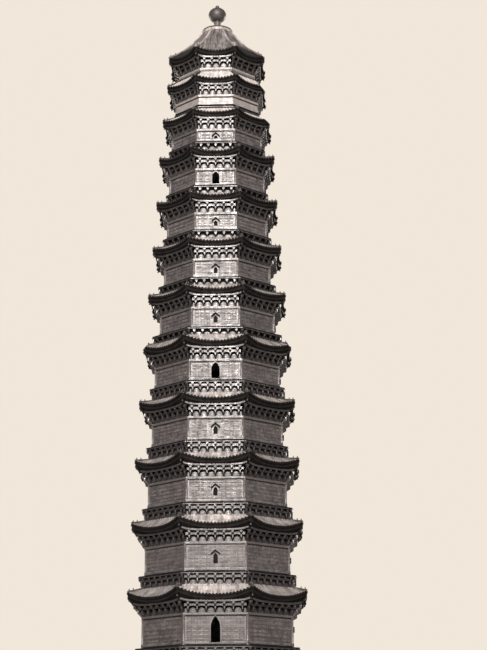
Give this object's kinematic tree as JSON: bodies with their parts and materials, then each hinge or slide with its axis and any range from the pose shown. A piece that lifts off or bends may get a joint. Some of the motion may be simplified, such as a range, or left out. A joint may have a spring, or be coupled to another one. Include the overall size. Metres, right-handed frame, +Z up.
{
  "type": "octagonal brick pagoda, thirteen storeys, 1:10 scale model",
  "caption": "Tall eight-sided tower of glazed brick with stacked bracketed eaves and balconies, a pointed roof and a ball finial, as a hollow 1:10 scale model.",
  "frame": {"origin": "middle of the underside of the base plinth, on the ground", "axes": "+Z up the tower's axis, -Y out of the front face that the picture shows, +X to that face's right"},
  "size_m": [1.212, 1.212, 5.58],
  "materials": {
    "wall_glaze": "satin",
    "eave_glaze": "satin",
    "balcony_glaze": "satin",
    "cap": "weathered",
    "finial": "weathered",
    "stone": "rough"
  },
  "bodies": {
    "root": {"base_plinth": "stone", "storey_1_pier_back_left": "wall_glaze", "storey_1_pier_back_right": "wall_glaze", "storey_1_pier_front_left": "wall_glaze", "storey_1_pier_front_right": "wall_glaze", "storey_1_wall_head": "wall_glaze", "storey_1_eave": "eave_glaze", "storey_2_balcony": "balcony_glaze", "storey_2_wall": "wall_glaze", "storey_2_eave": "eave_glaze", "storey_3_balcony": "balcony_glaze", "storey_3_wall": "wall_glaze", "storey_3_eave": "eave_glaze", "storey_4_balcony": "balcony_glaze", "storey_4_wall": "wall_glaze", "storey_4_eave": "eave_glaze", "storey_5_balcony": "balcony_glaze", "storey_5_wall": "wall_glaze", "storey_5_eave": "eave_glaze", "storey_6_balcony": "balcony_glaze", "storey_6_wall": "wall_glaze", "storey_6_eave": "eave_glaze", "storey_7_balcony": "balcony_glaze", "storey_7_wall": "wall_glaze", "storey_7_eave": "eave_glaze", "storey_8_balcony": "balcony_glaze", "storey_8_wall": "wall_glaze", "storey_8_eave": "eave_glaze", "storey_9_balcony": "balcony_glaze", "storey_9_wall": "wall_glaze", "storey_9_eave": "eave_glaze", "storey_10_balcony": "balcony_glaze", "storey_10_wall": "wall_glaze", "storey_10_eave": "eave_glaze", "storey_11_balcony": "balcony_glaze", "storey_11_wall": "wall_glaze", "storey_11_eave": "eave_glaze", "storey_12_balcony": "balcony_glaze", "storey_12_wall": "wall_glaze", "storey_12_eave": "eave_glaze", "storey_13_balcony": "balcony_glaze", "storey_13_wall": "wall_glaze", "top_roof": "eave_glaze", "roof_cap": "cap", "finial_ball": "finial"}
  },
  "joints": []
}
